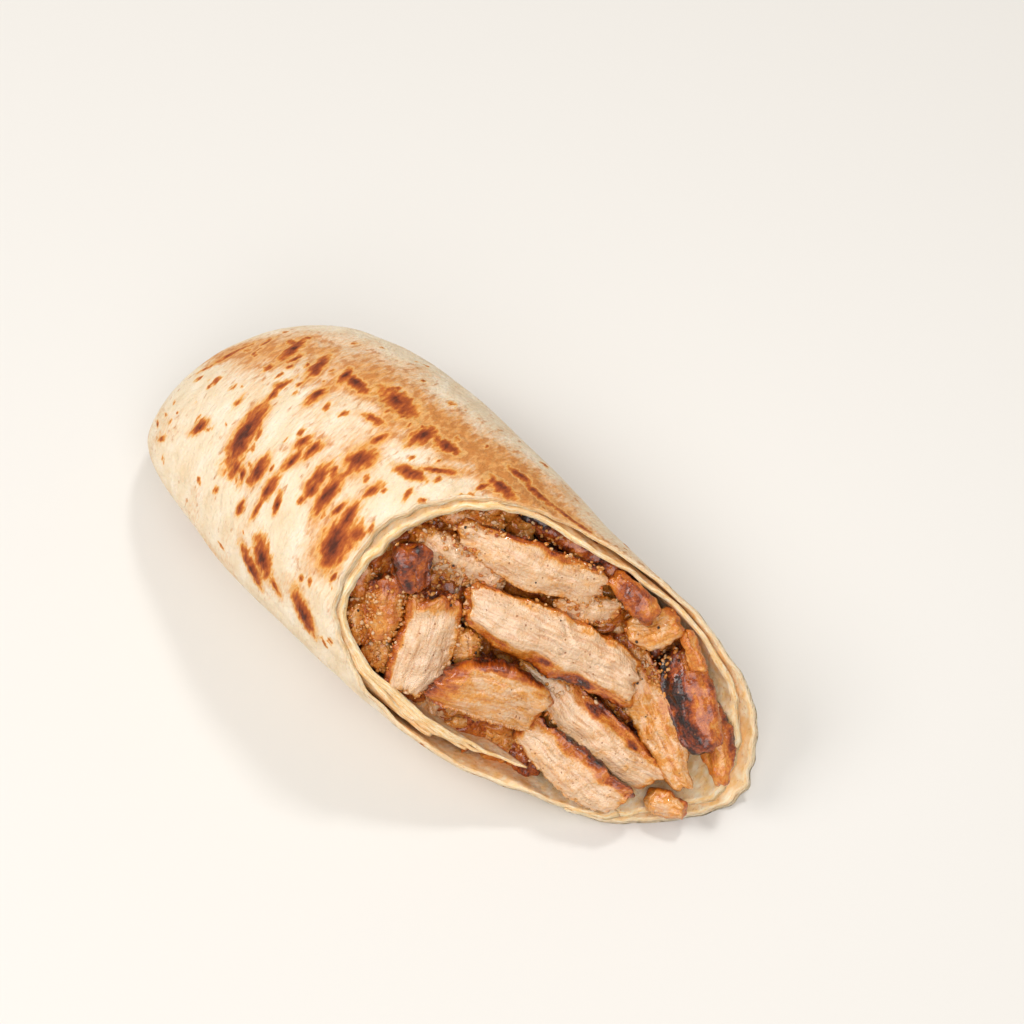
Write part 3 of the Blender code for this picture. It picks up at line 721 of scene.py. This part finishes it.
# %% One strip
def chicken_strip(number, node):
    """The visible strip for a CAD node, with its sear stored on it."""
    side, side_width, char, tan, end, end_length = COOKED.get(number, DEEP)
    points, normals, faces = remeshed(node, VOXEL if number in COOKED else DEEP_VOXEL, 3)
    middle, axes = strip_axes(points)
    local = (points - middle) @ axes.T
    facing = normals @ axes.T
    half = np.abs(local).max(axis=0)
    seed = number * 3.1
    own = np.random.default_rng(number)
    top = smooth_step(0.45, 0.85, facing[:, 2])

    # no strip is a box: its ends are oblique and narrow, and it bows, droops and waves
    u, v, w = local.T.copy()
    a = u / half[0]
    narrowest = 0.26 * min(1, half[1] / 6)
    lean = own.uniform(-0.5, 0.5)
    narrow_far, narrow_near = own.uniform(0, narrowest), own.uniform(0, narrowest)
    v = v * (1.1 - narrow_far * smooth_step(0.15, 1, a) - narrow_near * smooth_step(0.15, 1, -a))
    v += own.uniform(-1, 1) * 0.07 * half[0] * (1 - 2 * a ** 2)
    v += 0.75 * np.sign(v) * wave(np.stack([u, np.sign(v) * 9, w * 0.2], -1), (5.5, 1, 2), seed)
    w = w - own.uniform(0, 0.09) * half[0] * a ** 2
    w += 0.3 * top * own.uniform(-1, 1) * v
    u = u + lean * v * smooth_step(0.3, 1, np.abs(a))
    warped = np.stack([u, v, w], -1)

    push = SWELL + 0.8 * wave(local, (8, 5, 5), seed) + 0.5 * wave(local, (3.2, 2.4, 2.4), seed)
    edge_mm = np.minimum(half[1] - np.abs(local[:, 1]), half[0] - np.abs(local[:, 0]))
    small = half[1] < SMALL
    if small:
        push += 0.45 * wave(local, 2.0, seed + 12)
        top = 0.5 * top
    crumbly = np.maximum(1 - top, 1 - smooth_step(0.3, 2.2, edge_mm))
    push += crumbly * (0.34 * wave(local, 1.4, seed + 1) + 0.26 * wave(local, 0.8, seed + 8))
    push += top * 0.13 * wave(local, (6.0, 1.0, 3.0), seed + 2)
    split = np.abs(wave(local, (11.0, 2.1, 6.0), seed + 4))
    push -= top * 0.6 * (1 - smooth_step(0.0, 0.08, split)) * smooth_step(
        -0.1, 0.3, wave(local, (9, 6, 6), seed + 9))
    moved = warped + facing * push[:, None]
    torn = smooth_step(0.5, 1, np.abs(a)) * wave(local, (30.0, 1.5, 1.5), seed + 5)
    moved[:, 0] += np.sign(local[:, 0]) * min(1.4, half[1] * 0.3) * torn
    *nudge, length_share = NUDGED.get(number, (0, 0, 0, 1.0))
    moved = moved * (length_share, 1, 1) + nudge

    blur = wave(local, (3.0, 1.6, 2.0), seed + 6)
    from_side = half[1] - side * local[:, 1] + 0.9 * blur if side else np.full(len(local), 99.0)
    skin = 1 - smooth_step(side_width * 0.55, side_width + 0.01, from_side)
    from_end = half[0] - end * local[:, 0] + 1.6 * blur if end else np.full(len(local), 99.0)
    skin = np.maximum(skin, 0.85 * (1 - smooth_step(end_length * 0.3, end_length + 0.01, from_end)))
    broken = 0.7 + 0.6 * wave(local, (3.5, 3.0, 3.0), seed + 11)
    rim = 0.29 * broken * (1 - smooth_step(0.2, 2.4, edge_mm + 1.3 * blur))
    walls = 0.42 * (1 - smooth_step(0.35, 0.8, facing[:, 2]))
    under = 0.2 * smooth_step(0.0, 0.8, -facing[:, 2])
    patches = smooth_step(-0.1, 0.45, wave(local, (4.0, 2.4, 2.4), seed + 7))
    burnt = char * patches * np.maximum(skin, 0.6 * tan)
    sear = np.maximum(np.maximum(tan * 0.55 + 0.05, rim), walls) + 0.3 * skin + 0.34 * tan * blur
    sear += under + 0.42 * burnt
    strip = mesh_object(f"chicken_strip_{number:02d}", moved @ axes + middle, faces, chicken)
    attribute(strip, "sear", np.clip(sear, 0, 1.1))
    attribute(strip, "meat_mm", local + seed * 5)
    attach(strip, "root")
    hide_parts(node.name)
    return strip


# %% All the strips
strips = []
for name in sorted(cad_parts):
    if name.startswith("chicken_slice_"):
        strips.append(chicken_strip(int(name[-2:]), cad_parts[name]))
print(len(strips), "strips:", sum(map(triangles, strips)), "triangles")

# %% [markdown]
# ## The bed they lie in
# Deeper in the roll the strips are packed and no longer separate: what shows between the upper
# ones is dark, wet and lumpy. The CAD core is a stand-in for that mass, set well below the
# strips. Its skin is remeshed, its cut face is brought up along the roll, and lumps the size of
# small meat pieces are raised on it. Its colour is darker than the strips', and darker still in
# the hollows between the lumps: browner meat, with painted shade of the crevices over it.

# %% The bed of filling
RAISE = 7.5  # mm that its cut face is brought up along the roll
CORE_DEPTH = 13.0  # mm of the CAD core's face below the cut
points, normals, faces = remeshed(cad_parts["filling_core"], 0.75, 2)
from_face = -((points - SHIFT - CUT_CENTRE) @ NORMAL) - CORE_DEPTH
raised = points + np.array((1.0, 0, 0)) * (RAISE * (1 - smooth_step(0, 6, from_face)))[:, None]
lump = wave(raised, (6.0, 4.0, 4.0), 8) + 0.5 * wave(raised, (2.6, 2.0, 2.0), 9)
facing_cut = smooth_step(0.2, 0.8, normals @ NORMAL)
raised += normals * (facing_cut * (2.3 * lump + 0.3 * wave(raised, 1.1, 10)))[:, None]
bed = mesh_object("filling_bed", raised, faces, shaded_bed_material)
# darker in the hollows between the lumps and lighter on them: painted shade in the crevices, over the
# brown of seared meat
attribute(bed, "sear", np.clip(0.62 - 0.3 * lump, 0.2, 1.0))
attribute(bed, "meat_mm", raised)
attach(bed, "root")
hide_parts("filling_core")
print("bed:", triangles(bed), "triangles")

# %% [markdown]
# ## Shreds, crumbs and pepper
# Slicing grilled meat leaves torn shreds and crumbs, and they fall into the gaps between the
# strips. They are too many and too small for the CAD model. Each is a lumpy pebble or sliver,
# dropped against the meat by a ray that runs straight into the cut. The shreds go only where the
# ray lands deep and on the bed, in a gap. The crumbs cling to edges and sides, and not to what
# faces straight out of the cut. A few grains of pepper lie anywhere near the top.

# %% What the rays can hit
meat_points, meat_faces = [], []
for obj in strips + [bed]:
    first_bed_face = len(meat_faces)  # the bed comes last, so it is the bed's that stays
    start = len(meat_points)
    meat_points += [v.co / MM for v in obj.data.vertices]
    meat_faces += [[start + i for i in face.vertices] for face in obj.data.polygons]
meat = BVHTree.FromPolygons(meat_points, meat_faces)
bread_points = [v.co / MM for v in flatbread.data.vertices]
bread_tree = BVHTree.FromPolygons(bread_points, [face.vertices for face in flatbread.data.polygons])


# %% Scatter on the meat
RAY_START, RAY_LENGTH = 12, 60  # mm above the plane of the cut, and mm
TRIES = 60  # for each piece that is wanted


def pebble(level):
    """Points and faces of a ball of radius 1, to be stretched and dented."""
    ball = bmesh.new()
    bmesh.ops.create_icosphere(ball, subdivisions=level, radius=1.0)
    points = np.array([v.co for v in ball.verts])
    faces = np.array([[v.index for v in face.verts] for face in ball.faces])
    ball.free()
    return points, faces


def scattered(name, count, sizes, stretch, level, depths, sink, material, seed, dents, steep, brown,
              bed_only=False):
    """One mesh of `count` pebbles on the meat, where it lies between these depths below the cut
    and doesn't face the cut more than `steep`; `brown` is how seared they are."""
    dice = np.random.default_rng(seed)
    ball, ball_faces = pebble(level)
    points, faces, places, sears = [], [], [], []
    centre = CUT_CENTRE + SHIFT
    tries = 0
    while len(points) < count and tries < count * TRIES:
        tries += 1
        spot = centre + ALONG * dice.uniform(-48, 49) + UP * dice.uniform(-28, 29)
        start = spot + NORMAL * RAY_START
        hit, normal, struck, far = meat.ray_cast(Vector(start), Vector(-NORMAL), RAY_LENGTH)
        bread_hit = bread_tree.ray_cast(Vector(start), Vector(-NORMAL), RAY_LENGTH)
        if hit is None:
            continue
        if not depths[0] < far - RAY_START < depths[1] or normal @ Vector(NORMAL) > steep:
            continue
        if bread_hit[0] is not None and bread_hit[3] < far + 2:
            continue
        if bed_only and struck < first_bed_face:
            continue
        size = dice.uniform(*sizes) / 2
        turn = dice.uniform(0, 2 * pi)
        lengthwise = cos(turn) * ALONG + sin(turn) * UP + dice.uniform(-0.3, 0.3) * NORMAL
        lengthwise /= np.linalg.norm(lengthwise)
        sideways = np.cross(NORMAL, lengthwise)
        axes = np.stack([lengthwise, sideways, np.cross(lengthwise, sideways)])
        shape = ball * (1 + dents * wave(ball, 0.9, seed + len(points) * 0.37))[:, None]
        shape += dents * (0.45 * wave(ball, 0.45, seed + len(points))
                          + 0.2 * wave(ball, 0.2, seed + len(points)))[:, None] * ball
        shape = shape * (size * dice.uniform(*stretch), size, size * dice.uniform(0.6, 0.9))
        points.append(shape @ axes + np.array(hit) + np.array(normal) * size * (0.8 - sink))
        faces.append(ball_faces + (len(points) - 1) * len(ball))
        places.append(shape + dice.uniform(0, 90, 3))
        sears.append(np.full(len(ball), np.clip(dice.normal(brown, 0.12), 0.05, 0.95)))
    piece = mesh_object(name, np.concatenate(points), np.concatenate(faces).tolist(), material)
    attribute(piece, "sear", np.concatenate(sears))
    attribute(piece, "meat_mm", np.concatenate(places))
    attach(piece, "root")
    print(name, len(points), "pieces,", triangles(piece), "triangles")
    return piece


# %% Ground pepper, and all that is scattered
pepper, _, pepper_shader = new_material("black_pepper")
pepper_tree = pepper.node_tree
mottle = add(pepper_tree, "TexNoise", {
    "Vector": add(pepper_tree, "Attribute", attribute_name="meat_mm").outputs["Vector"],
    "Scale": 3.0}).outputs["Fac"]
pepper_tree.links.new(ramp(pepper_tree, mottle, [(0.35, "#1c120c"), (0.65, "#4a3222")]),
                      pepper_shader.inputs["Base Color"])
pepper_shader.inputs["Roughness"].default_value = 0.5

scattered("meat_shreds", 120, (3.0, 6.0), (1.2, 2.0), 4, (4.5, 26.0), 0.45, chicken, 21, 0.7, 2.0,
          0.40, bed_only=True)
scattered("meat_crumbs", 1300, (0.35, 0.95), (1.0, 1.7), 2, (0.6, 24.0), 0.35, chicken, 22, 0.5, 0.9,
          0.28)
scattered("pepper_grains", 18, (0.3, 0.7), (1.0, 1.3), 2, (-2.0, 9.0), 0.2, pepper, 23, 0.3, 2.0,
          0.5)
